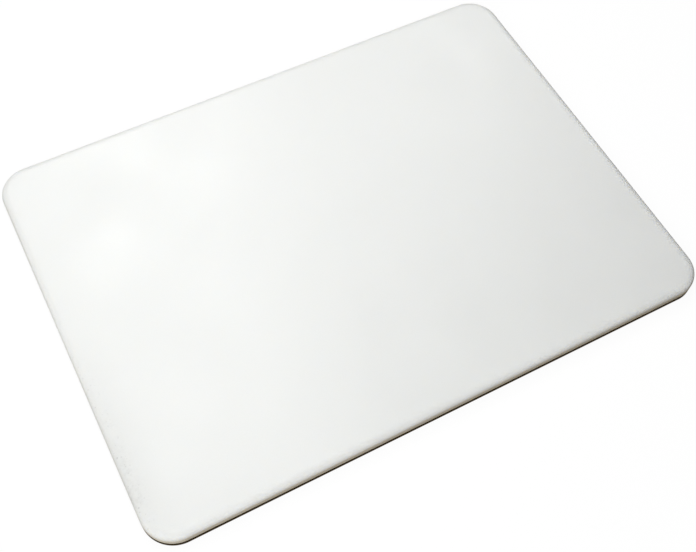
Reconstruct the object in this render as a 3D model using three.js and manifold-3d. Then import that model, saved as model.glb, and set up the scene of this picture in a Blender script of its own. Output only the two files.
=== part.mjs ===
// Over-sink cutting board: a plain white polyethylene slab on four low rubber feet.
// Each foot sits in a flat seat under the slab, held by a washer and a tapping screw.
// Millimetres, +Z up. The origin is the middle of the plane that the feet stand on,
// +X runs along the long side and +Y away from the front edge.
import * as THREE from "three";
import { mergeVertices } from "three/addons/utils/BufferGeometryUtils.js";
import Module from "manifold-3d";

// Slab
const boardLength = 420;
const boardWidth = 308;
const boardThickness = 9.5;
const cornerRadius = 22.5;
const sideFlat = 3.1; // straight part left on the sides between the routed rounds

// Feet
const footInset = 27; // from the slab's sides to the middle of a foot
const footDiameter = 16;
const soleDiameter = 14.6; // the foot narrows to this where it stands
const footProud = 1.5; // how far a foot stands below the slab
const soleRound = 0.5;
const seatDepth = 3; // flat-bottomed seat for the foot in the slab's underside

// Washers
const washerDiameter = 8.6;
const washerThickness = 0.7;

// Screws
const screwDiameter = 3.5; // over the thread
const screwPitch = 1.3;
const threadDepth = 0.45;
const tipLength = 1.2;
const headDiameter = 7;
const headHeight = 1.4;
const headRim = 0.6; // straight part of the head's edge
const headRecess = 0.6; // the head stays this far above the sole
const driveSpan = 4.2; // cross recess in the head
const driveWidth = 1.1;
const driveDepth = 0.8;
const skinOverScrew = 2.1; // plastic left between the end of a screw hole and the cutting face

// Clearances
const seatClearance = 0.25; // around a foot in its seat
const washerClearance = 0.25; // around a washer in its foot
const screwClearance = 0.25; // around the thread in the washer, the foot and the slab
const tipClearance = 0.4; // between a screw's tip and the end of its hole
const faceGap = 0.1; // between flat faces that bear on each other

// Facets
const cornerSteps = 8;
const edgeSteps = 6;
const roundSteps = 24;
const screwSteps = 12;
const rowsPerPitch = 5;
const arcSteps = 4;

// Heights, from the sole up
const underside = footProud;
const cuttingFace = underside + boardThickness;
const seatFloor = underside + seatDepth;
const footTop = seatFloor - faceGap;
const headLow = headRecess;
const headHigh = headLow + headHeight;
const washerLow = headHigh + faceGap;
const washerHigh = washerLow + washerThickness;
const recessFloor = washerHigh + faceGap;
const holeEnd = cuttingFace - skinOverScrew;
const screwTip = holeEnd - tipClearance;

// Radii
const edgeRound = (boardThickness - sideFlat) / 2; // along the top and the bottom edge
const footRadius = footDiameter / 2;
const soleRadius = soleDiameter / 2;
const washerRadius = washerDiameter / 2;
const screwRadius = screwDiameter / 2;
const headRadius = headDiameter / 2;
const holeRadius = screwRadius + screwClearance;
const recessRadius = washerRadius + washerClearance;
const seatRadius = footRadius + seatClearance;

const footX = boardLength / 2 - footInset;
const footY = boardWidth / 2 - footInset;
const corners = [
  { place: "front_left", x: -footX, y: -footY },
  { place: "front_right", x: footX, y: -footY },
  { place: "back_left", x: -footX, y: footY },
  { place: "back_right", x: footX, y: footY },
];

const polyethylene = new THREE.MeshStandardMaterial({ color: 0xf2f2f0, roughness: 0.5, metalness: 0 });
const rubber = new THREE.MeshStandardMaterial({ color: 0x6b6e70, roughness: 0.85, metalness: 0 });
const steel = new THREE.MeshStandardMaterial({ color: 0xc4c5c3, roughness: 0.35, metalness: 1 });

const wasm = await Module();
wasm.setup();

// A closed geometry as a solid that can be cut. Triangles that collapse at a lathe's poles are dropped.
function toSolid(geometry) {
  const bare = geometry.clone();
  bare.deleteAttribute("normal");
  bare.deleteAttribute("uv");
  const merged = mergeVertices(bare);
  const corner = merged.index.array;
  const kept = [];
  for (let i = 0; i < corner.length; i += 3) {
    const [a, b, c] = corner.slice(i, i + 3);
    if (a !== b && b !== c && c !== a) kept.push(a, b, c);
  }
  const vertProperties = new Float32Array(merged.attributes.position.array);
  return new wasm.Manifold(new wasm.Mesh({ numProp: 3, vertProperties, triVerts: new Uint32Array(kept) }));
}

function toGeometry(solid) {
  const mesh = solid.getMesh();
  const geometry = new THREE.BufferGeometry();
  geometry.setAttribute("position", new THREE.BufferAttribute(mesh.vertProperties, 3));
  geometry.setIndex(new THREE.BufferAttribute(mesh.triVerts, 1));
  geometry.computeVertexNormals();
  return geometry;
}

// A profile of [radius, height] pairs turned about +Z.
function turned(profile, steps) {
  const points = profile.map(([radius, height]) => new THREE.Vector2(radius, height));
  return new THREE.LatheGeometry(points, steps).rotateX(Math.PI / 2);
}

// A plug that cuts a round hole upwards from one height to another.
function plug(radius, low, high, x, y) {
  const cylinder = new THREE.CylinderGeometry(radius, radius, high - low, roundSteps);
  cylinder.rotateX(Math.PI / 2).translate(x, y, (low + high) / 2);
  return toSolid(cylinder);
}

// The slab's plan, drawn in by the round so that the bevel brings it out to its full size.
function slabPlan() {
  const halfX = boardLength / 2 - edgeRound;
  const halfY = boardWidth / 2 - edgeRound;
  const radius = cornerRadius - edgeRound;
  const plan = new THREE.Shape();
  plan.absarc(halfX - radius, halfY - radius, radius, 0, Math.PI / 2);
  plan.absarc(radius - halfX, halfY - radius, radius, Math.PI / 2, Math.PI);
  plan.absarc(radius - halfX, radius - halfY, radius, Math.PI, 1.5 * Math.PI);
  plan.absarc(halfX - radius, radius - halfY, radius, 1.5 * Math.PI, 2 * Math.PI);
  plan.closePath();
  return plan;
}

// The slab with its rounded edges, four foot seats and four screw holes.
function slab() {
  const blank = new THREE.ExtrudeGeometry(slabPlan(), {
    depth: sideFlat,
    bevelThickness: edgeRound,
    bevelSize: edgeRound,
    bevelSegments: edgeSteps,
    curveSegments: cornerSteps,
  });
  let solid = toSolid(blank.translate(0, 0, underside + edgeRound));
  for (const { x, y } of corners) {
    solid = solid.subtract(plug(seatRadius, 0, seatFloor, x, y));
    solid = solid.subtract(plug(holeRadius, underside, holeEnd, x, y));
  }
  return toGeometry(solid);
}

// A rubber foot: a bored disc with a recess for the washer and the screw head.
function foot() {
  const profile = [
    [holeRadius, recessFloor],
    [recessRadius, recessFloor],
    [recessRadius, 0],
  ];
  for (let i = 0; i <= arcSteps; i++) {
    const angle = (i / arcSteps) * (Math.PI / 2);
    profile.push([
      soleRadius - soleRound * (1 - Math.sin(angle)),
      soleRound * (1 - Math.cos(angle)),
    ]);
  }
  profile.push([footRadius, underside]);
  profile.push([footRadius, footTop]);
  profile.push([holeRadius, footTop]);
  profile.push([holeRadius, recessFloor]);
  return turned(profile, roundSteps);
}

function washer() {
  const profile = [
    [holeRadius, washerLow],
    [washerRadius, washerLow],
    [washerRadius, washerHigh],
    [holeRadius, washerHigh],
    [holeRadius, washerLow],
  ];
  return turned(profile, roundSteps);
}

// How much of the thread stands at a height: it runs out at the head and at the tip.
function threadShare(height) {
  const fromHead = (height - headHigh) / screwPitch;
  const fromTip = (screwTip - height) / tipLength;
  return THREE.MathUtils.clamp(Math.min(fromHead, fromTip), 0, 1);
}

// A tapping screw, point up, with a low domed head, a helical thread and a cross recess.
function screw() {
  const coreRadius = screwRadius - threadDepth;
  const dome = headHeight - headRim;
  const profile = [];
  for (let i = 0; i <= arcSteps; i++) {
    const share = i / arcSteps;
    profile.push([headRadius * share, headLow + dome * share * share]);
  }
  profile.push([headRadius, headHigh]);
  const rows = Math.ceil(((screwTip - headHigh) / screwPitch) * rowsPerPitch);
  for (let i = 0; i < rows; i++) {
    const height = headHigh + ((screwTip - headHigh) * i) / rows;
    const taper = Math.min(1, (screwTip - height) / tipLength);
    profile.push([coreRadius * taper, height]);
  }
  profile.push([0, screwTip]);

  const geometry = turned(profile, screwSteps);
  const position = geometry.attributes.position;
  const point = new THREE.Vector3();
  for (let i = 0; i < position.count; i++) {
    point.fromBufferAttribute(position, i);
    if (point.z <= headHigh || point.z >= screwTip) continue;
    const turns = point.z / screwPitch - Math.atan2(point.y, point.x) / (2 * Math.PI);
    const ridge = 1 - Math.abs(2 * (turns - Math.floor(turns)) - 1);
    const radius = Math.hypot(point.x, point.y);
    const grown = 1 + (threadDepth * ridge * threadShare(point.z)) / radius;
    position.setXYZ(i, point.x * grown, point.y * grown, point.z);
  }

  let solid = toSolid(geometry);
  for (const turn of [0, Math.PI / 2]) {
    const slot = new THREE.BoxGeometry(driveSpan, driveWidth, 2 * driveDepth);
    solid = solid.subtract(toSolid(slot.rotateZ(turn).translate(0, 0, headLow)));
  }
  return toGeometry(solid);
}

function named(name, geometry, material) {
  const mesh = new THREE.Mesh(geometry, material);
  mesh.name = name;
  return mesh;
}

const cuttingBoard = new THREE.Group();
cuttingBoard.add(named("board", slab(), polyethylene));
for (const { place, x, y } of corners) {
  const corner = new THREE.Group();
  corner.position.set(x, y, 0);
  corner.add(named(`foot_${place}`, foot(), rubber));
  corner.add(named(`washer_${place}`, washer(), steel));
  corner.add(named(`screw_${place}`, screw(), steel));
  cuttingBoard.add(corner);
}

export default cuttingBoard;
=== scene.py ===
import math

import bmesh
import bpy
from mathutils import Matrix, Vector


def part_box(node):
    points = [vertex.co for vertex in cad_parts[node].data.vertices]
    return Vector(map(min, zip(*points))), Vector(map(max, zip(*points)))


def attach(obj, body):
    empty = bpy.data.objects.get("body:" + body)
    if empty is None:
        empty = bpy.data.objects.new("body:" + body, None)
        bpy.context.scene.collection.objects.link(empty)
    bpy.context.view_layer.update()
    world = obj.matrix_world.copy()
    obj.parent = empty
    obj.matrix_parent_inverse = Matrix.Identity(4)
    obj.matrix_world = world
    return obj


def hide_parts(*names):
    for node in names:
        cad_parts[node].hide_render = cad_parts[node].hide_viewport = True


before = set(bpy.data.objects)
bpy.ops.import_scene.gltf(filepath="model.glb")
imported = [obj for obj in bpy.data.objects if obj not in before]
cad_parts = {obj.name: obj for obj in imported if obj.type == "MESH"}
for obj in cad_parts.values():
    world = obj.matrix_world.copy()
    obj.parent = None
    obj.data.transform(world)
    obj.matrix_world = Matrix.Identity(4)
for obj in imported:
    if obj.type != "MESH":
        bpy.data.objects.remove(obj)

# White polyethylene board on four screwed rubber feet, in metres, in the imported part's own frame.

scene = bpy.context.scene
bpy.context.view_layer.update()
mm = 0.001
places = ("front_left", "front_right", "back_left", "back_right")
poleWeld = 0.002 * mm  # joins the points of a turned section that meet on its axis
seamWeld = 0.01 * mm  # joins the parts of a piece along their seams
sharpAngle = math.radians(35)  # edges that turn more than this stay hard

boardLow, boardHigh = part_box("board")
boardSize = boardHigh - boardLow
footLow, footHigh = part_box("foot_back_right")
footSpot = (footLow + footHigh) / 2  # the other three mirror this one
print("frame loaded, board", [round(side, 4) for side in boardSize])


# Node helpers


def wire(tree, value, socket):
    # an output is linked, a plain value is set
    if isinstance(value, bpy.types.NodeSocket):
        tree.links.new(value, socket)
    else:
        socket.default_value = value


def addNode(tree, kind, inputs=None, **settings):
    node = tree.nodes.new(kind)
    for name, value in settings.items():
        setattr(node, name, value)
    for key, value in (inputs or {}).items():
        wire(tree, value, node.inputs[key])
    return node


def calc(tree, operation, *values, clamp=False):
    node = addNode(tree, "ShaderNodeMath", dict(enumerate(values)), operation=operation, use_clamp=clamp)
    return node.outputs[0]


def vecCalc(tree, operation, *values):
    node = addNode(tree, "ShaderNodeVectorMath", dict(enumerate(values)), operation=operation)
    return node.outputs["Value" if operation == "LENGTH" else "Vector"]


def remap(tree, value, fromLow, fromHigh, toLow=0.0, toHigh=1.0, smooth=True):
    node = addNode(
        tree,
        "ShaderNodeMapRange",
        {"Value": value, "From Min": fromLow, "From Max": fromHigh, "To Min": toLow, "To Max": toHigh},
        interpolation_type="SMOOTHSTEP" if smooth else "LINEAR",
        clamp=True,
    )
    return node.outputs["Result"]


def splitXYZ(tree, vector):
    return addNode(tree, "ShaderNodeSeparateXYZ", {0: vector}).outputs


def joinXYZ(tree, x=0.0, y=0.0, z=0.0):
    return addNode(tree, "ShaderNodeCombineXYZ", {"X": x, "Y": y, "Z": z}).outputs[0]


def openTree(name, treeKind, inputs, outputs):
    tree = bpy.data.node_groups.new(name, treeKind)
    for label, (socketKind, value) in inputs.items():
        socket = tree.interface.new_socket(label, in_out="INPUT", socket_type="NodeSocket" + socketKind)
        if value is not None:
            socket.default_value = value
    for label, socketKind in outputs.items():
        tree.interface.new_socket(label, in_out="OUTPUT", socket_type="NodeSocket" + socketKind)
    given = tree.nodes.new("NodeGroupInput").outputs
    result = tree.nodes.new("NodeGroupOutput").inputs
    return tree, given, result


# Geometry Nodes helpers


def profileCurve(name, points):
    # a section as a poly curve, from pairs of reach outwards and height
    curve = bpy.data.curves.new(name, "CURVE")
    curve.dimensions = "3D"
    spline = curve.splines.new("POLY")
    closed = points[0] == points[-1]
    kept = points[:-1] if closed else points
    spline.points.add(len(kept) - 1)
    for spot, (reach, height) in zip(spline.points, kept):
        spot.co = (reach, -height, 0.0, 1.0)  # sweeping turns a curve's y downwards
    spline.use_cyclic_u = closed
    return bpy.data.objects.new(name, curve)


def quarterArc(centreX, centreY, radius, startDegrees, steps):
    # a quarter turn that runs clockwise from its start angle
    turns = [math.radians(startDegrees - 90 * step / steps) for step in range(steps + 1)]
    return [(centreX + radius * math.cos(turn), centreY + radius * math.sin(turn)) for turn in turns]


def softQuarter(width, height, power, steps):
    # a quarter of a superellipse, from its top out to its side
    share = 2 / power
    turns = [math.pi / 2 * step / steps for step in range(steps)]
    points = [(width * math.sin(turn) ** share, height * math.cos(turn) ** share) for turn in turns]
    return points + [(width, 0.0)]


def makeTurnedGroup():
    # sweeps a section round the z axis
    tree, given, result = openTree(
        "turnedSection",
        "GeometryNodeTree",
        {"Section": ("Geometry", None), "Steps": ("Int", 64)},
        {"Mesh": "Geometry"},
    )
    pathRadius = 1.0
    path = addNode(
        tree,
        "GeometryNodeCurvePrimitiveCircle",
        {"Resolution": given["Steps"], "Radius": pathRadius},
    )
    shifted = addNode(
        tree,
        "GeometryNodeTransform",
        {"Geometry": given["Section"], "Translation": (-pathRadius, 0.0, 0.0)},
    )
    swept = addNode(
        tree,
        "GeometryNodeCurveToMesh",
        {"Curve": path.outputs["Curve"], "Profile Curve": shifted.outputs[0]},
    )
    merged = addNode(
        tree,
        "GeometryNodeMergeByDistance",
        {"Geometry": swept.outputs[0], "Distance": poleWeld},
    )
    wire(tree, merged.outputs[0], result["Mesh"])
    return tree


turnedGroup = makeTurnedGroup()


def turned(tree, section, steps):
    info = addNode(tree, "GeometryNodeObjectInfo", {"Object": section})
    node = addNode(tree, "GeometryNodeGroup", node_tree=turnedGroup)
    wire(tree, info.outputs["Geometry"], node.inputs["Section"])
    wire(tree, steps, node.inputs["Steps"])
    return node.outputs["Mesh"]


def atCorners(tree, geometry, spreadX, spreadY):
    # one copy at each of the four mirrored foot places
    grid = addNode(
        tree,
        "GeometryNodeMeshGrid",
        {
            "Size X": calc(tree, "MULTIPLY", spreadX, 2.0),
            "Size Y": calc(tree, "MULTIPLY", spreadY, 2.0),
            "Vertices X": 2,
            "Vertices Y": 2,
        },
    )
    copies = addNode(
        tree,
        "GeometryNodeInstanceOnPoints",
        {"Points": grid.outputs["Mesh"], "Instance": geometry},
    )
    return copies.outputs[0]


def closeTree(tree, geometry, material, result):
    # copies become real, doubles merge, hard corners stay hard and the finish is set
    real = addNode(tree, "GeometryNodeRealizeInstances", {"Geometry": geometry})
    merged = addNode(
        tree,
        "GeometryNodeMergeByDistance",
        {"Geometry": real.outputs[0], "Distance": seamWeld},
    )
    smooth = addNode(tree, "GeometryNodeSetShadeSmooth", {"Geometry": merged.outputs[0]}, domain="FACE")
    angle = addNode(tree, "GeometryNodeInputMeshEdgeAngle")
    soft = calc(tree, "LESS_THAN", angle.outputs["Unsigned Angle"], sharpAngle)
    edges = addNode(
        tree,
        "GeometryNodeSetShadeSmooth",
        {"Geometry": smooth.outputs[0], "Shade Smooth": soft},
        domain="EDGE",
    )
    dressed = addNode(
        tree,
        "GeometryNodeSetMaterial",
        {"Geometry": edges.outputs[0], "Material": material},
    )
    wire(tree, dressed.outputs[0], result["Geometry"])


def makePiece(name, tree, values):
    # runs a tree on an empty object and keeps the result as a plain mesh
    holder = bpy.data.objects.new(name + "Holder", bpy.data.meshes.new(name + "Holder"))
    scene.collection.objects.link(holder)
    modifier = holder.modifiers.new("shape", "NODES")
    modifier.node_group = tree
    sockets = {item.name: item.identifier for item in tree.interface.items_tree if item.in_out == "INPUT"}
    for label, value in values.items():
        modifier[sockets[label]] = value
    graph = bpy.context.evaluated_depsgraph_get()
    mesh = bpy.data.meshes.new_from_object(holder.evaluated_get(graph), depsgraph=graph)
    holder.modifiers.remove(modifier)
    bpy.data.objects.remove(holder)
    shape = bmesh.new()
    shape.from_mesh(mesh)
    bmesh.ops.recalc_face_normals(shape, faces=shape.faces)
    shape.to_mesh(mesh)
    shape.free()
    finish = mesh.materials[-1]  # the tree leaves an empty slot before it
    mesh.materials.clear()
    mesh.materials.append(finish)
    mesh.name = name
    piece = bpy.data.objects.new(name, mesh)
    scene.collection.objects.link(piece)
    print(name, len(mesh.polygons), "faces")
    return piece


def settle(piece, slot, *nodes):
    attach(piece, "root")
    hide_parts(*nodes)


# Shader groups


def makePlanDistance():
    # signed distance to the outline of a rounded rectangle, in metres
    tree, given, result = openTree(
        "planDistance",
        "ShaderNodeTree",
        {
            "Vector": ("Vector", None),
            "Half Length": ("Float", 0.2),
            "Half Width": ("Float", 0.15),
            "Corner Radius": ("Float", 0.02),
        },
        {"Distance": "Float"},
    )
    x, y, _ = splitXYZ(tree, given["Vector"])
    radius = given["Corner Radius"]
    sides = []
    for value, half in ((x, given["Half Length"]), (y, given["Half Width"])):
        straight = calc(tree, "SUBTRACT", half, radius)
        sides.append(calc(tree, "SUBTRACT", calc(tree, "ABSOLUTE", value), straight))
    outer = joinXYZ(tree, *(calc(tree, "MAXIMUM", side, 0.0) for side in sides))
    inner = calc(tree, "MINIMUM", calc(tree, "MAXIMUM", *sides), 0.0)
    total = calc(tree, "ADD", vecCalc(tree, "LENGTH", outer), inner)
    wire(tree, calc(tree, "SUBTRACT", total, radius), result["Distance"])
    return tree


def makeFinishDrift():
    # slow and fine drift that breaks up an even finish, both about zero
    tree, given, result = openTree(
        "finishDrift",
        "ShaderNodeTree",
        {"Vector": ("Vector", None), "Broad Size": ("Float", 0.06), "Fine Size": ("Float", 0.001)},
        {"Broad": "Float", "Fine": "Float"},
    )
    for label, detail in (("Broad", 3.0), ("Fine", 1.0)):
        field = addNode(
            tree,
            "ShaderNodeTexNoise",
            {
                "Vector": given["Vector"],
                "Scale": calc(tree, "DIVIDE", 1.0, given[label + " Size"]),
                "Detail": detail,
            },
        )
        wire(tree, calc(tree, "SUBTRACT", field.outputs[0], 0.5), result[label])
    return tree


def makeTurnedMarks():
    # fine rings that turning or tumbling leaves round the axis of the nearest foot, about zero
    tree, given, result = openTree(
        "turnedMarks",
        "ShaderNodeTree",
        {
            "Vector": ("Vector", None),
            "Centre X": ("Float", 0.0),
            "Centre Y": ("Float", 0.0),
            "Ring Size": ("Float", 0.0002),
        },
        {"Rings": "Float"},
    )
    x, y, z = splitXYZ(tree, given["Vector"])
    local = joinXYZ(
        tree,
        calc(tree, "SUBTRACT", calc(tree, "ABSOLUTE", x), given["Centre X"]),
        calc(tree, "SUBTRACT", calc(tree, "ABSOLUTE", y), given["Centre Y"]),
    )
    reach = vecCalc(tree, "LENGTH", local)
    across, along = (calc(tree, "DIVIDE", value, given["Ring Size"]) for value in (reach, z))
    rings = addNode(
        tree,
        "ShaderNodeTexNoise",
        {"Vector": joinXYZ(tree, across, 0.0, along), "Scale": 1.0, "Detail": 2.0},
    )
    wire(tree, calc(tree, "SUBTRACT", rings.outputs[0], 0.5), result["Rings"])
    return tree


planDistance = makePlanDistance()
finishDrift = makeFinishDrift()
turnedMarks = makeTurnedMarks()


def useGroup(tree, group, inputs):
    node = addNode(tree, "ShaderNodeGroup", node_tree=group)
    for label, value in inputs.items():
        wire(tree, value, node.inputs[label])
    return node.outputs


def openMaterial(name, roughness, metallic=0.0):
    material = bpy.data.materials.new(name)
    material.use_nodes = True
    tree = material.node_tree
    shader = tree.nodes["Principled BSDF"]
    shader.inputs["Roughness"].default_value = roughness
    shader.inputs["Metallic"].default_value = metallic
    coords = tree.nodes.new("ShaderNodeTexCoord").outputs["Object"]
    return material, tree, shader, coords


def tint(tree, share, low, high):
    # mixes two colours by a mask, on the sockets that the node keeps for colours
    node = addNode(tree, "ShaderNodeMix", data_type="RGBA")
    wire(tree, share, node.inputs["Factor"])
    for socket, colour in ((node.inputs[6], low), (node.inputs[7], high)):
        wire(tree, colour if isinstance(colour, bpy.types.NodeSocket) else (*colour, 1.0), socket)
    return node.outputs[2]


def bump(tree, height, distance, normal=None):
    node = addNode(tree, "ShaderNodeBump", {"Height": height, "Distance": distance, "Strength": 1.0})
    if normal is not None:
        wire(tree, normal, node.inputs["Normal"])
    return node.outputs["Normal"]


def noise(tree, vector, size, detail=2.0):
    node = addNode(tree, "ShaderNodeTexNoise", {"Vector": vector, "Scale": 1.0 / size, "Detail": detail})
    return node.outputs[0]


def shaded(tree, colour, drift, broadShare, fineShare):
    # lightens and darkens a colour with the drift of its finish
    level = calc(tree, "MULTIPLY_ADD", drift["Broad"], broadShare, 1.0)
    level = calc(tree, "MULTIPLY_ADD", drift["Fine"], fineShare, level)
    return vecCalc(tree, "MULTIPLY", colour, joinXYZ(tree, level, level, level))


# Board: a slab swept round its plan, with pockets for the feet and the screws

boardSettings = {
    "shape": {
        "cornerRadius": 22.5 * mm,
        "sideFlat": 3.1 * mm,  # straight part left on the sides between the two rounds
        "shoulder": 6.0 * mm,  # the cutting face starts to fall this far in from the sides
        "shoulderPower": 2.4,  # two is a plain ellipse, more starts more gently
        "margin": 0.6 * mm,  # narrow flat ring that keeps the faces flat beside the round
        "cornerSteps": 32,
        "edgeSteps": 16,
        "seatRadius": 8.25 * mm,
        "seatDepth": 3.0 * mm,
        "holeRadius": 2.0 * mm,
        "holeSkin": 2.1 * mm,  # plastic left above a screw hole
        "roundSteps": 64,
    },
    "finish": {
        "white": (0.853, 0.864, 0.846),
        # painted shade: the sides get a darker, warmer colour than the white, standing in for the shade and
        # brown bounce that fall on them
        "side": (0.80, 0.772, 0.69),
        "scuff": (0.36, 0.355, 0.34),
        "faceUpright": (0.90, 0.995),  # the finish of the faces ends between these values of the normal's z
        "sideUpright": (0.0, 0.5),  # and the painted shade of the sides fades out between these
        "roughness": 0.42,
        "sideRoughness": 0.65,
        "scuffRoughness": 0.3,  # added where the board is scuffed
        "refraction": 1.54,
        "scatter": 0.5,
        "scatterReach": 3.5 * mm,
        "scatterTint": (1.0, 0.95, 0.85),
        "cloudSize": 60.0 * mm,
        "cloudShade": 0.045,  # how much the white drifts from cloud to cloud
        "cloudGloss": 0.34,  # and how much the roughness does
        "pebbleSize": 0.9 * mm,
        "pebbleShade": 0.03,
        "pebbleDepth": 0.012 * mm,
        "cutterSize": 0.7 * mm,
        "cutterSquash": 0.08,  # the router's marks are drawn out in height
        "cutterDepth": 0.008 * mm,
    },
    "scuffs": {
        "band": 14.0 * mm,  # specks and smudges gather in this margin along the left side
        "leftDarkBand": 30.0 * mm,  # a grey darkening fades out over this one
        "leftDarkShare": 0.1,
        # a stronger darkening right at the left side fades out over this
        "rimBand": 4.0 * mm,
        "rimShare": 0.16,
        "frontFade": (-110.0 * mm, 30.0 * mm),  # they thin out from the front to the back
        "backShare": 0.12,
        "cornerFade": (-115.0 * mm, -150.0 * mm),  # and again round the front corner
        "cornerShare": 0.35,
        "edgeFade": (3.0 * mm, 8.0 * mm),  # a few lie along the other sides
        "edgeShare": 0.12,
        "speckSpacing": 2.8 * mm,
        "speckRadius": 1.0 * mm,
        "speckShare": 0.46,
        "speckless": 0.5,  # share of the cells that hold no speck
        "patchSize": 14.0 * mm,
        "patchRange": (0.36, 0.62),
        "grainSize": 2.4 * mm,
        "grainRange": (0.36, 0.74),
        "smudgeShare": 0.16,
    },
}


def boardOutline(tree, coords):
    # distance to the board's plan outline, below zero inside it
    inputs = {
        "Vector": coords,
        "Half Length": boardSize.x / 2,
        "Half Width": boardSize.y / 2,
        "Corner Radius": boardSettings["shape"]["cornerRadius"],
    }
    return useGroup(tree, planDistance, inputs)["Distance"]


def makeSpecks(tree, coords, look):
    # round specks of many sizes, darkest in the middle
    cells = addNode(
        tree,
        "ShaderNodeTexVoronoi",
        {"Vector": coords, "Scale": 1.0 / look["speckSpacing"]},
        voronoi_dimensions="2D",
    )
    pick = splitXYZ(tree, cells.outputs["Color"])[0]
    widest = look["speckRadius"] / look["speckSpacing"]
    radius = remap(tree, pick, look["speckless"], 1.0, 0.0, widest, smooth=False)
    return remap(tree, cells.outputs["Distance"], 0.0, radius, look["speckShare"], 0.0)


def makeScuffs(tree, coords, look):
    # a grey darkening towards the left side, smudges and specks, most of them along the front half of the
    # left side
    x, y, _ = splitXYZ(tree, coords)
    fromLeft = calc(tree, "ADD", x, boardSize.x / 2)
    fromEdge = calc(tree, "MULTIPLY", boardOutline(tree, coords), -1.0)
    nearEdge = remap(tree, fromEdge, *look["edgeFade"], look["edgeShare"], 0.0)
    nearLeft = remap(tree, fromLeft, 0.0, look["band"], 1.0, 0.0)
    towardFront = remap(tree, y, *look["frontFade"], 1.0, look["backShare"])
    pastCorner = remap(tree, y, *look["cornerFade"], 1.0, look["cornerShare"])
    nearFront = calc(tree, "MULTIPLY", towardFront, pastCorner)
    where = calc(tree, "MAXIMUM", nearEdge, calc(tree, "MULTIPLY", nearLeft, nearFront))
    patches = remap(tree, noise(tree, coords, look["patchSize"]), *look["patchRange"])
    grains = remap(tree, noise(tree, coords, look["grainSize"]), *look["grainRange"])
    smudges = calc(tree, "MULTIPLY", calc(tree, "MULTIPLY", patches, grains), look["smudgeShare"])
    marks = calc(tree, "MULTIPLY", where, calc(tree, "MAXIMUM", makeSpecks(tree, coords, look), smudges))
    # darker towards the left side, more so over its last few millimetres
    leftDarkening = remap(tree, fromLeft, 0.0, look["leftDarkBand"], look["leftDarkShare"], 0.0)
    rim = remap(tree, fromLeft, 0.0, look["rimBand"], look["rimShare"], 0.0)
    return calc(tree, "MULTIPLY_ADD", calc(tree, "ADD", leftDarkening, rim), nearFront, marks)


def makePolyethylene(look, scuffLook):
    material, tree, shader, coords = openMaterial("satinPolyethylene", look["roughness"])
    shader.inputs["IOR"].default_value = look["refraction"]
    shader.inputs["Subsurface Weight"].default_value = look["scatter"]
    shader.inputs["Subsurface Radius"].default_value = look["scatterTint"]
    shader.inputs["Subsurface Scale"].default_value = look["scatterReach"]

    normal = addNode(tree, "ShaderNodeNewGeometry").outputs["Normal"]
    upright = calc(tree, "ABSOLUTE", splitXYZ(tree, normal)[2])
    face = remap(tree, upright, *look["faceUpright"])
    # where the normal turns level: the sides, which get the painted shade
    side = remap(tree, upright, *look["sideUpright"], 1.0, 0.0)
    drift = useGroup(
        tree,
        finishDrift,
        {"Vector": coords, "Broad Size": look["cloudSize"], "Fine Size": look["pebbleSize"]},
    )
    scuffs = makeScuffs(tree, coords, scuffLook)

    # the white, with painted shade on the sides
    white = tint(tree, side, look["white"], look["side"])
    clouded = shaded(tree, white, drift, look["cloudShade"], look["pebbleShade"])
    wire(tree, tint(tree, scuffs, clouded, look["scuff"]), shader.inputs["Base Color"])

    rough = remap(tree, face, 0.0, 1.0, look["sideRoughness"], look["roughness"], smooth=False)
    rough = calc(tree, "MULTIPLY_ADD", drift["Broad"], look["cloudGloss"], rough)
    rough = calc(tree, "MULTIPLY_ADD", scuffs, look["scuffRoughness"], rough)
    wire(tree, rough, shader.inputs["Roughness"])

    pebble = calc(tree, "MULTIPLY", noise(tree, coords, look["pebbleSize"]), face)
    cutterPath = vecCalc(tree, "MULTIPLY", coords, (1.0, 1.0, look["cutterSquash"]))
    cutter = noise(tree, cutterPath, look["cutterSize"], detail=1.0)
    routed = calc(tree, "MULTIPLY", cutter, calc(tree, "SUBTRACT", 1.0, face))
    pebbled = bump(tree, pebble, look["pebbleDepth"])
    wire(tree, bump(tree, routed, look["cutterDepth"], normal=pebbled), shader.inputs["Normal"])
    return material


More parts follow.
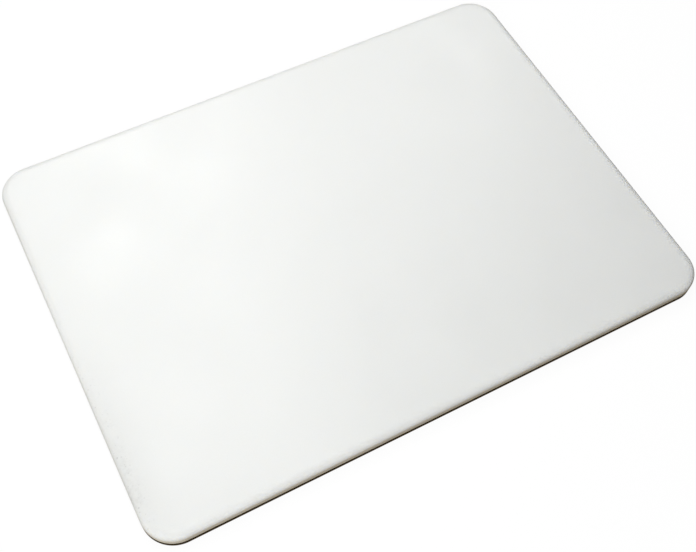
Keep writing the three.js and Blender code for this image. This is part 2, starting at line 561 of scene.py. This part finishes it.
def makeSlabTree():
    tree, given, result = openTree(
        "slabOnPlan",
        "GeometryNodeTree",
        {
            "Edge Section": ("Object", None),
            "Pocket Section": ("Object", None),
            "Length": ("Float", 0.4),
            "Width": ("Float", 0.3),
            "Corner Radius": ("Float", 0.02),
            "Edge Reach": ("Float", 0.006),
            "Margin": ("Float", 0.0005),
            "Corner Steps": ("Int", 24),
            "Seat Radius": ("Float", 0.008),
            "Round Steps": ("Int", 64),
            "Foot X": ("Float", 0.18),
            "Foot Y": ("Float", 0.12),
            "Underside": ("Float", 0.0),
            "Top": ("Float", 0.01),
            "Finish": ("Material", None),
        },
        {"Geometry": "Geometry"},
    )

    def plan(inset):
        # the board's outline, drawn in by an inset
        both = calc(tree, "MULTIPLY", inset, 2.0)
        sides = [calc(tree, "SUBTRACT", given[label], both) for label in ("Length", "Width")]
        frameCurve = addNode(
            tree,
            "GeometryNodeCurvePrimitiveQuadrilateral",
            {"Width": sides[0], "Height": sides[1]},
            mode="RECTANGLE",
        )
        rounded = addNode(
            tree,
            "GeometryNodeFilletCurve",
            {
                "Curve": frameCurve.outputs[0],
                "Count": given["Corner Steps"],
                "Radius": calc(tree, "SUBTRACT", given["Corner Radius"], inset),
            },
            mode="POLY",
        )
        return rounded.outputs[0]

    def filled(curves, height):
        face = addNode(tree, "GeometryNodeFillCurve", {"Curve": curves}, mode="NGONS")
        moved = addNode(
            tree,
            "GeometryNodeTransform",
            {"Geometry": face.outputs[0], "Translation": joinXYZ(tree, z=height)},
        )
        return moved.outputs[0]

    edgeInfo = addNode(tree, "GeometryNodeObjectInfo", {"Object": given["Edge Section"]})
    rim = addNode(
        tree,
        "GeometryNodeCurveToMesh",
        {"Curve": plan(given["Edge Reach"]), "Profile Curve": edgeInfo.outputs["Geometry"]},
    )
    faceInset = calc(tree, "ADD", given["Edge Reach"], given["Margin"])
    topFace = filled(plan(faceInset), given["Top"])

    mouth = addNode(
        tree,
        "GeometryNodeCurvePrimitiveCircle",
        {"Resolution": given["Round Steps"], "Radius": given["Seat Radius"]},
    )
    mouths = addNode(
        tree,
        "GeometryNodeRealizeInstances",
        {"Geometry": atCorners(tree, mouth.outputs["Curve"], given["Foot X"], given["Foot Y"])},
    )
    underPlan = tree.nodes.new("GeometryNodeJoinGeometry")
    for curve in (plan(faceInset), mouths.outputs[0]):
        tree.links.new(curve, underPlan.inputs[0])
    underFace = filled(underPlan.outputs[0], given["Underside"])
    pockets = atCorners(
        tree,
        turned(tree, given["Pocket Section"], given["Round Steps"]),
        given["Foot X"],
        given["Foot Y"],
    )

    slab = tree.nodes.new("GeometryNodeJoinGeometry")
    for part in (rim.outputs[0], topFace, underFace, pockets):
        tree.links.new(part, slab.inputs[0])
    closeTree(tree, slab.outputs[0], given["Finish"], result)
    return tree


def makeBoard(settings):
    shape = settings["shape"]
    low, high = boardLow.z, boardHigh.z
    edge = (boardSize.z - shape["sideFlat"]) / 2  # height of each round
    reach, margin, steps = shape["shoulder"], shape["margin"], shape["edgeSteps"]
    shoulder = softQuarter(reach, edge, shape["shoulderPower"], steps)
    section = [(-margin, high)]
    section += [(x, high - edge + y) for x, y in shoulder]
    section += quarterArc(reach - edge, low + edge, edge, 0, steps)
    section.append((-margin, low))
    seatFloor, holeEnd = low + shape["seatDepth"], high - shape["holeSkin"]
    pocket = [
        (shape["seatRadius"], low),
        (shape["seatRadius"], seatFloor),
        (shape["holeRadius"], seatFloor),
        (shape["holeRadius"], holeEnd),
        (0.0, holeEnd),
    ]
    edgeSection = profileCurve("edgeSection", section)
    pocketSection = profileCurve("pocketSection", pocket)
    board = makePiece(
        "cutting_board",
        makeSlabTree(),
        {
            "Edge Section": edgeSection,
            "Pocket Section": pocketSection,
            "Length": boardSize.x,
            "Width": boardSize.y,
            "Corner Radius": shape["cornerRadius"],
            "Edge Reach": reach,
            "Margin": margin,
            "Corner Steps": shape["cornerSteps"],
            "Seat Radius": shape["seatRadius"],
            "Round Steps": shape["roundSteps"],
            "Foot X": footSpot.x,
            "Foot Y": footSpot.y,
            "Underside": low,
            "Top": high,
            "Finish": makePolyethylene(settings["finish"], settings["scuffs"]),
        },
    )
    for used in (edgeSection, pocketSection):
        bpy.data.objects.remove(used)
    settle(board, "polyethylene", "board")


makeBoard(boardSettings)


# Feet and washers: turned sections, one copy at each corner


def makeTurnedTree():
    tree, given, result = openTree(
        "turnedAtCorners",
        "GeometryNodeTree",
        {
            "Section": ("Object", None),
            "Steps": ("Int", 96),
            "Foot X": ("Float", 0.18),
            "Foot Y": ("Float", 0.12),
            "Finish": ("Material", None),
        },
        {"Geometry": "Geometry"},
    )
    single = turned(tree, given["Section"], given["Steps"])
    copies = atCorners(tree, single, given["Foot X"], given["Foot Y"])
    closeTree(tree, copies, given["Finish"], result)
    return tree


turnedAtCorners = makeTurnedTree()


def makeTurnedPieces(name, points, steps, finish):
    section = profileCurve(name + "Section", points)
    piece = makePiece(
        name,
        turnedAtCorners,
        {"Section": section, "Steps": steps, "Foot X": footSpot.x, "Foot Y": footSpot.y, "Finish": finish},
    )
    bpy.data.objects.remove(section)
    return piece


def nodesOf(kind):
    return [kind + "_" + place for place in places]


def halfRing(centre, width, depth, steps):
    # a round groove cut up into the sole, from its inner to its outer rim
    turns = [math.pi * step / steps for step in range(steps + 1)]
    return [(centre - width / 2 * math.cos(turn), depth * math.sin(turn)) for turn in turns]


footSettings = {
    "shape": {
        "soleRadius": 7.3 * mm,
        "soleRound": 0.5 * mm,
        "underside": 1.5 * mm,  # the foot reaches its full width where it enters its seat
        "recessRadius": 4.55 * mm,
        "recessFloor": 2.9 * mm,
        "boreRadius": 2.0 * mm,
        "mouldRound": 0.3 * mm,
        "grooves": (5.45 * mm, 6.25 * mm),
        "grooveWidth": 0.4 * mm,
        "grooveDepth": 0.22 * mm,
        "arcSteps": 6,
        "roundSteps": 96,
    },
    "finish": {
        "grey": (0.105, 0.108, 0.112),
        "worn": (0.18, 0.18, 0.18),
        "roughness": 0.78,
        "specular": 0.35,
        "patchSize": 5.0 * mm,
        "patchShade": 0.3,
        "patchRoughness": 0.2,
        "grainSize": 0.22 * mm,
        "grainShade": 0.2,
        "grainDepth": 0.02 * mm,
        "wearHeight": 0.35 * mm,  # the sole is rubbed paler and smoother up to here
        "wearShare": 0.8,
        "wearPolish": 0.12,
    },
}


def makeFootRubber(look):
    material, tree, shader, coords = openMaterial("footRubber", look["roughness"])
    shader.inputs["Specular IOR Level"].default_value = look["specular"]
    drift = useGroup(
        tree,
        finishDrift,
        {"Vector": coords, "Broad Size": look["patchSize"], "Fine Size": look["grainSize"]},
    )
    height = splitXYZ(tree, coords)[2]
    patchy = calc(tree, "MULTIPLY_ADD", drift["Broad"], look["wearHeight"], height)
    rubbed = remap(tree, patchy, 0.0, look["wearHeight"], look["wearShare"], 0.0)
    grey = tint(tree, rubbed, look["grey"], look["worn"])
    wire(tree, shaded(tree, grey, drift, look["patchShade"], look["grainShade"]), shader.inputs["Base Color"])
    rough = calc(tree, "MULTIPLY_ADD", drift["Broad"], look["patchRoughness"], look["roughness"])
    rough = calc(tree, "MULTIPLY_ADD", rubbed, -look["wearPolish"], rough)
    wire(tree, rough, shader.inputs["Roughness"])
    wire(tree, bump(tree, drift["Fine"], look["grainDepth"]), shader.inputs["Normal"])
    return material


def makeFeet(settings):
    shape = settings["shape"]
    low, high, outer = footLow.z, footHigh.z, (footHigh.x - footLow.x) / 2
    mould, sole, steps = shape["mouldRound"], shape["soleRound"], shape["arcSteps"]
    recess, bore = shape["recessRadius"], shape["boreRadius"]
    points = [(bore, shape["recessFloor"]), (recess, shape["recessFloor"])]
    points += [(x, low + y) for x, y in reversed(quarterArc(recess + mould, mould, mould, 270, steps))]
    for groove in shape["grooves"]:
        ring = halfRing(groove, shape["grooveWidth"], shape["grooveDepth"], steps)
        points += [(x, low + y) for x, y in ring]
    points += reversed(quarterArc(shape["soleRadius"] - sole, low + sole, sole, 0, steps))
    points.append((outer, shape["underside"]))
    points += reversed(quarterArc(outer - mould, high - mould, mould, 90, steps))
    points += [(bore, high), (bore, shape["recessFloor"])]
    rubber = makeFootRubber(settings["finish"])
    feet = makeTurnedPieces("rubber_feet", points, shape["roundSteps"], rubber)
    settle(feet, "foot_rubber", *nodesOf("foot"))


washerSettings = {
    "shape": {
        "holeRadius": 2.0 * mm,
        "dieRoll": 0.2 * mm,
        "burr": 0.06 * mm,
        "arcSteps": 5,
        "roundSteps": 96,
    },
    "finish": {
        "steel": (0.63, 0.63, 0.62),
        "dull": (0.45, 0.45, 0.45),
        "roughness": 0.34,
        "ringSize": 0.11 * mm,
        "ringDepth": 0.006 * mm,
    },
}

steelFinish = {
    "patchSize": 2.2 * mm,
    "patchRange": (-0.05, 0.25),
    "patchShare": 0.7,  # how far the patches go towards the dull colour
    "patchRoughness": 0.3,
    "ringRoughness": 0.15,
}


def makeSteel(name, look, finish):
    # stainless steel with rings round the screw's axis and duller patches
    material, tree, shader, coords = openMaterial(name, look["roughness"], metallic=1.0)
    marks = useGroup(
        tree,
        turnedMarks,
        {"Vector": coords, "Centre X": footSpot.x, "Centre Y": footSpot.y, "Ring Size": look["ringSize"]},
    )
    drift = useGroup(tree, finishDrift, {"Vector": coords, "Broad Size": finish["patchSize"]})
    patches = remap(tree, drift["Broad"], *finish["patchRange"], 0.0, finish["patchShare"])
    wire(tree, tint(tree, patches, look["steel"], look["dull"]), shader.inputs["Base Color"])
    rough = calc(tree, "MULTIPLY_ADD", drift["Broad"], finish["patchRoughness"], look["roughness"])
    rough = calc(tree, "MULTIPLY_ADD", marks["Rings"], finish["ringRoughness"], rough)
    wire(tree, rough, shader.inputs["Roughness"])
    wire(tree, bump(tree, marks["Rings"], look["ringDepth"]), shader.inputs["Normal"])
    return material


def makeWashers(settings):
    shape = settings["shape"]
    washerLow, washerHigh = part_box("washer_back_right")
    low, high, outer = washerLow.z, washerHigh.z, (washerHigh.x - washerLow.x) / 2
    hole, roll, burr, steps = shape["holeRadius"], shape["dieRoll"], shape["burr"], shape["arcSteps"]
    points = [(hole, low + burr), (hole + burr, low)]
    points += reversed(quarterArc(outer - roll, low + roll, roll, 0, steps))
    points += [(outer, high - burr), (outer - burr, high)]
    points += [(hole + burr, high), (hole, high - burr), (hole, low + burr)]
    steel = makeSteel("washerSteel", settings["finish"], steelFinish)
    washers = makeTurnedPieces("washers", points, shape["roundSteps"], steel)
    settle(washers, "washer_steel", *nodesOf("washer"))


makeFeet(footSettings)
makeWashers(washerSettings)


# Screws: a turned blank whose shank swells into a helical thread, with a cross cut into the head

screwSettings = {
    "shape": {
        "headRecess": 0.6 * mm,  # the head stays this far above the sole
        "headHeight": 1.4 * mm,
        "headRim": 0.6 * mm,
        "rimRound": 0.15 * mm,
        "coreRadius": 1.3 * mm,
        "threadDepth": 0.45 * mm,
        "threadShare": 0.62,  # part of the pitch that the ridge takes at its foot
        "pitch": 1.3 * mm,
        "tipLength": 1.2 * mm,
        "driveSpan": 4.2 * mm,
        "driveWidth": 1.1 * mm,
        "driveDepth": 0.8 * mm,
        "driveTaper": 0.22,
        "domeSteps": 16,
        "arcSteps": 4,
        "rowsPerPitch": 22,
        "roundSteps": 64,
    },
    "finish": {
        "steel": (0.60, 0.60, 0.59),
        "dull": (0.40, 0.40, 0.395),
        "roughness": 0.30,
        "ringSize": 0.09 * mm,
        "ringDepth": 0.005 * mm,
    },
}


def makeScrewTree():
    tree, given, result = openTree(
        "threadedScrew",
        "GeometryNodeTree",
        {
            "Blank": ("Object", None),
            "Steps": ("Int", 64),
            "Pitch": ("Float", 0.001),
            "Thread Depth": ("Float", 0.0004),
            "Thread Share": ("Float", 0.6),
            "Thread Low": ("Float", 0.002),
            "Thread High": ("Float", 0.008),
            "Tip Length": ("Float", 0.001),
            "Drive Low": ("Float", 0.0006),
            "Drive Span": ("Float", 0.004),
            "Drive Width": ("Float", 0.001),
            "Drive Depth": ("Float", 0.0008),
            "Drive Taper": ("Float", 0.2),
            "Foot X": ("Float", 0.18),
            "Foot Y": ("Float", 0.12),
            "Finish": ("Material", None),
        },
        {"Geometry": "Geometry"},
    )
    blank = turned(tree, given["Blank"], given["Steps"])

    # right-hand ridge that runs out under the head and along the tip
    spot = addNode(tree, "GeometryNodeInputPosition").outputs[0]
    x, y, z = splitXYZ(tree, spot)
    angle = calc(tree, "DIVIDE", calc(tree, "ARCTAN2", y, x), 2 * math.pi)
    turns = calc(tree, "SUBTRACT", calc(tree, "DIVIDE", z, given["Pitch"]), angle)
    wave = calc(tree, "MULTIPLY", calc(tree, "PINGPONG", turns, 0.5), 2.0)
    valley = calc(tree, "SUBTRACT", 1.0, given["Thread Share"])
    ridge = remap(tree, wave, valley, 1.0, smooth=False)
    fromHead = calc(tree, "DIVIDE", calc(tree, "SUBTRACT", z, given["Thread Low"]), given["Pitch"])
    fromTip = calc(tree, "DIVIDE", calc(tree, "SUBTRACT", given["Thread High"], z), given["Tip Length"])
    share = calc(tree, "MINIMUM", fromHead, fromTip, clamp=True)
    rise = calc(tree, "MULTIPLY", calc(tree, "MULTIPLY", ridge, share), given["Thread Depth"])
    outward = vecCalc(tree, "NORMALIZE", joinXYZ(tree, x, y))
    threaded = addNode(
        tree,
        "GeometryNodeSetPosition",
        {
            "Geometry": blank,
            "Selection": calc(tree, "GREATER_THAN", z, given["Thread Low"]),
            "Offset": vecCalc(tree, "MULTIPLY", outward, joinXYZ(tree, rise, rise, rise)),
        },
    )

    # two crossed bars that narrow into the head
    barHeight = calc(tree, "MULTIPLY", given["Drive Depth"], 2.0)
    barSize = joinXYZ(tree, given["Drive Span"], given["Drive Width"], barHeight)
    bar = addNode(tree, "GeometryNodeMeshCube", {"Size": barSize})
    depthShare = calc(tree, "DIVIDE", z, given["Drive Depth"])
    narrow = calc(tree, "SUBTRACT", 1.0, calc(tree, "MULTIPLY", depthShare, given["Drive Taper"]))
    drawnIn = vecCalc(tree, "MULTIPLY", spot, joinXYZ(tree, narrow, narrow, 1.0))
    tapered = addNode(
        tree,
        "GeometryNodeSetPosition",
        {"Geometry": bar.outputs[0], "Position": drawnIn},
    )
    cut = addNode(tree, "GeometryNodeMeshBoolean", operation="DIFFERENCE", solver="EXACT")
    tree.links.new(threaded.outputs[0], cut.inputs["Mesh 1"])
    for turn in (0.0, math.pi / 2):
        placed = addNode(
            tree,
            "GeometryNodeTransform",
            {
                "Geometry": tapered.outputs[0],
                "Translation": joinXYZ(tree, z=given["Drive Low"]),
                "Rotation": (0.0, 0.0, turn),
            },
        )
        tree.links.new(placed.outputs[0], cut.inputs["Mesh 2"])
    copies = atCorners(tree, cut.outputs["Mesh"], given["Foot X"], given["Foot Y"])
    closeTree(tree, copies, given["Finish"], result)
    return tree


def makeScrews(settings):
    shape = settings["shape"]
    screwLow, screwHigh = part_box("screw_back_right")
    low, tip, head = footLow.z + shape["headRecess"], screwHigh.z, (screwHigh.x - screwLow.x) / 2
    neck = low + shape["headHeight"]
    dome = shape["headHeight"] - shape["headRim"]
    core, rim, steps = shape["coreRadius"], shape["rimRound"], shape["arcSteps"]
    points = []
    for step in range(shape["domeSteps"]):
        share = step / shape["domeSteps"]
        points.append((head * share, low + dome * share**2))
    points += reversed(quarterArc(head - rim, neck - rim, rim, 90, steps))
    points.append((core, neck))
    shank = tip - shape["tipLength"] - neck
    rows = round(shank / shape["pitch"] * shape["rowsPerPitch"])
    points += [(core, neck + shank * row / rows) for row in range(1, rows + 1)]
    tipRows = round(shape["tipLength"] / shape["pitch"] * shape["rowsPerPitch"])
    for row in range(1, tipRows + 1):
        share = row / tipRows
        points.append((core * (1 - share), tip - shape["tipLength"] * (1 - share)))
    blank = profileCurve("screwBlank", points)
    screws = makePiece(
        "foot_screws",
        makeScrewTree(),
        {
            "Blank": blank,
            "Steps": shape["roundSteps"],
            "Pitch": shape["pitch"],
            "Thread Depth": shape["threadDepth"],
            "Thread Share": shape["threadShare"],
            "Thread Low": neck,
            "Thread High": tip,
            "Tip Length": shape["tipLength"],
            "Drive Low": low,
            "Drive Span": shape["driveSpan"],
            "Drive Width": shape["driveWidth"],
            "Drive Depth": shape["driveDepth"],
            "Drive Taper": shape["driveTaper"],
            "Foot X": footSpot.x,
            "Foot Y": footSpot.y,
            "Finish": makeSteel("screwSteel", settings["finish"], steelFinish),
        },
    )
    bpy.data.objects.remove(blank)
    settle(screws, "screw_steel", *nodesOf("screw"))


makeScrews(screwSettings)


# Camera

cameraView = {
    "place": (-0.19329, -0.33697, 0.61526),
    "turnDegrees": (29.950, -1.605, -27.738),
    "lens": 51.579,
    "sensorWidth": 36.0,
}


def makeCamera(view):
    camera = bpy.data.cameras.new("camera")
    camera.sensor_width = view["sensorWidth"]
    camera.lens = view["lens"]
    holder = bpy.data.objects.new("camera", camera)
    holder.location = view["place"]
    holder.rotation_euler = [math.radians(turn) for turn in view["turnDegrees"]]
    scene.collection.objects.link(holder)
    scene.camera = holder


makeCamera(cameraView)


# Light and floor

lights = {
    "frontLeft": {"place": (-0.95, -0.78, 0.84), "size": 0.9, "power": 13.2},
    "overhead": {"place": (-0.08, 0.1, 0.65), "size": 0.35, "power": 1.27},
    "back": {"place": (-0.02, 0.77, 0.92), "size": 0.55, "power": 4.86},
    "backRight": {"place": (0.72, 0.8, 1.0), "size": 0.5, "power": 2.97},
}

room = {"ambient": 0.056, "backdrop": 0.945}  # the backdrop is as bright as the far floor

floorLook = {
    "size": 8.0,
    "bounce": (0.21, 0.15, 0.055),  # what it throws back up at the board
    "glow": 0.94,  # how bright the camera sees it
    "shadowShare": 0.07,  # how much of the board's shadow shows
    "gapShadow": (0.020, 0.0125, 0.004),  # painted shadow: the floor is coloured dark under the board, for the shade in the gap beneath it
    "gapShadowSoftness": 0.4 * mm,
}


def makeLights():
    for name, light in lights.items():
        lamp = bpy.data.lights.new(name, "AREA")
        lamp.shape = "DISK"
        lamp.size = light["size"]
        lamp.energy = light["power"]
        holder = bpy.data.objects.new(name, lamp)
        holder.location = light["place"]
        holder.rotation_euler = (-Vector(light["place"])).to_track_quat("-Z", "Y").to_euler()
        scene.collection.objects.link(holder)


def makeRoom(settings):
    world = bpy.data.worlds.new("room")
    scene.world = world
    world.use_nodes = True
    tree = world.node_tree
    tree.nodes.clear()
    seen = addNode(tree, "ShaderNodeLightPath").outputs["Is Camera Ray"]
    white = (1.0, 1.0, 1.0, 1.0)
    ambient, backdrop = (
        addNode(tree, "ShaderNodeBackground", {"Color": white, "Strength": settings[name]}).outputs[0]
        for name in ("ambient", "backdrop")
    )
    mixed = addNode(tree, "ShaderNodeMixShader", {0: seen, 1: ambient, 2: backdrop})
    output = tree.nodes.new("ShaderNodeOutputWorld")
    wire(tree, mixed.outputs[0], output.inputs["Surface"])


def makeFloor(look):
    mesh = bpy.data.meshes.new("floor")
    half = look["size"] / 2
    corners = [(-half, -half, 0), (half, -half, 0), (half, half, 0), (-half, half, 0)]
    mesh.from_pydata(corners, [], [(0, 1, 2, 3)])
    floor = bpy.data.objects.new("floor", mesh)
    scene.collection.objects.link(floor)
    material = bpy.data.materials.new("paleFloor")
    material.use_nodes = True
    tree = material.node_tree
    tree.nodes.clear()
    coords = tree.nodes.new("ShaderNodeTexCoord").outputs["Object"]
    soft = look["gapShadowSoftness"] / 2
    # painted shadow: inside the board's outline each floor colour turns to the dark gap colour
    clear = remap(tree, boardOutline(tree, coords), -soft, soft)
    pale, shadow, bounce = (
        tint(tree, clear, look["gapShadow"], colour)
        for colour in ((1.0, 1.0, 1.0), (look["shadowShare"],) * 3, look["bounce"])
    )
    glow = addNode(tree, "ShaderNodeEmission", {"Color": pale, "Strength": look["glow"]})
    lit = addNode(tree, "ShaderNodeBsdfDiffuse", {"Color": shadow})
    shown = addNode(tree, "ShaderNodeAddShader", {0: glow.outputs[0], 1: lit.outputs[0]})
    # only the camera sees the even pale floor, so it doesn't light the board from below
    bounced = addNode(tree, "ShaderNodeBsdfDiffuse", {"Color": bounce})
    seen = addNode(tree, "ShaderNodeLightPath").outputs["Is Camera Ray"]
    mixed = addNode(tree, "ShaderNodeMixShader", {0: seen, 1: bounced.outputs[0], 2: shown.outputs[0]})
    output = tree.nodes.new("ShaderNodeOutputMaterial")
    wire(tree, mixed.outputs[0], output.inputs["Surface"])
    mesh.materials.append(material)


makeLights()
makeRoom(room)
makeFloor(floorLook)
scene.view_settings.view_transform = "Standard"
print("camera, light and floor set")
